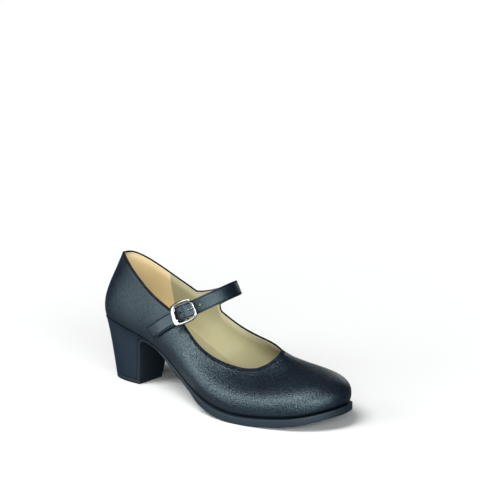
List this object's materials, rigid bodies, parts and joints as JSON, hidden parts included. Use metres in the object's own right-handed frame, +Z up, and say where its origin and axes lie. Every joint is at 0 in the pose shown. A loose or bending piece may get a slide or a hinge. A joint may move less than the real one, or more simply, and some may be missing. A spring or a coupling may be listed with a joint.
{
  "type": "flamenco shoe",
  "caption": "Right flamenco shoe in black leather: round toe, low-cut vamp, instep strap with a centre-bar buckle, block heel and a sole that turns down the heel breast.",
  "frame": {"origin": "on the floor, under the middle of the heel's top piece", "axes": "+X along the shoe towards the toe, +Y towards the inner (medial) side, +Z up"},
  "size_m": [0.2338, 0.0842, 0.1065],
  "materials": {
    "upper": "fine-grained black leather with a soft gloss, lined in beige leather",
    "insole": "beige leather sock, matt",
    "outsole": "black sole with a satin edge",
    "heel_block": "smooth black leather cover, soft gloss",
    "top_piece": "black rubber, matt",
    "instep_strap": "fine-grained black leather with a soft gloss",
    "buckle_strap": "fine-grained black leather with a soft gloss",
    "buckle_frame": "polished nickel plate",
    "buckle_prong": "polished nickel plate"
  },
  "bodies": {
    "root": {"upper": "upper", "insole": "insole", "outsole": "outsole", "heel_block": "heel_block", "top_piece": "top_piece", "instep_strap": "instep_strap", "buckle_strap": "buckle_strap", "buckle_frame": "buckle_frame", "buckle_prong": "buckle_prong"}
  },
  "joints": []
}
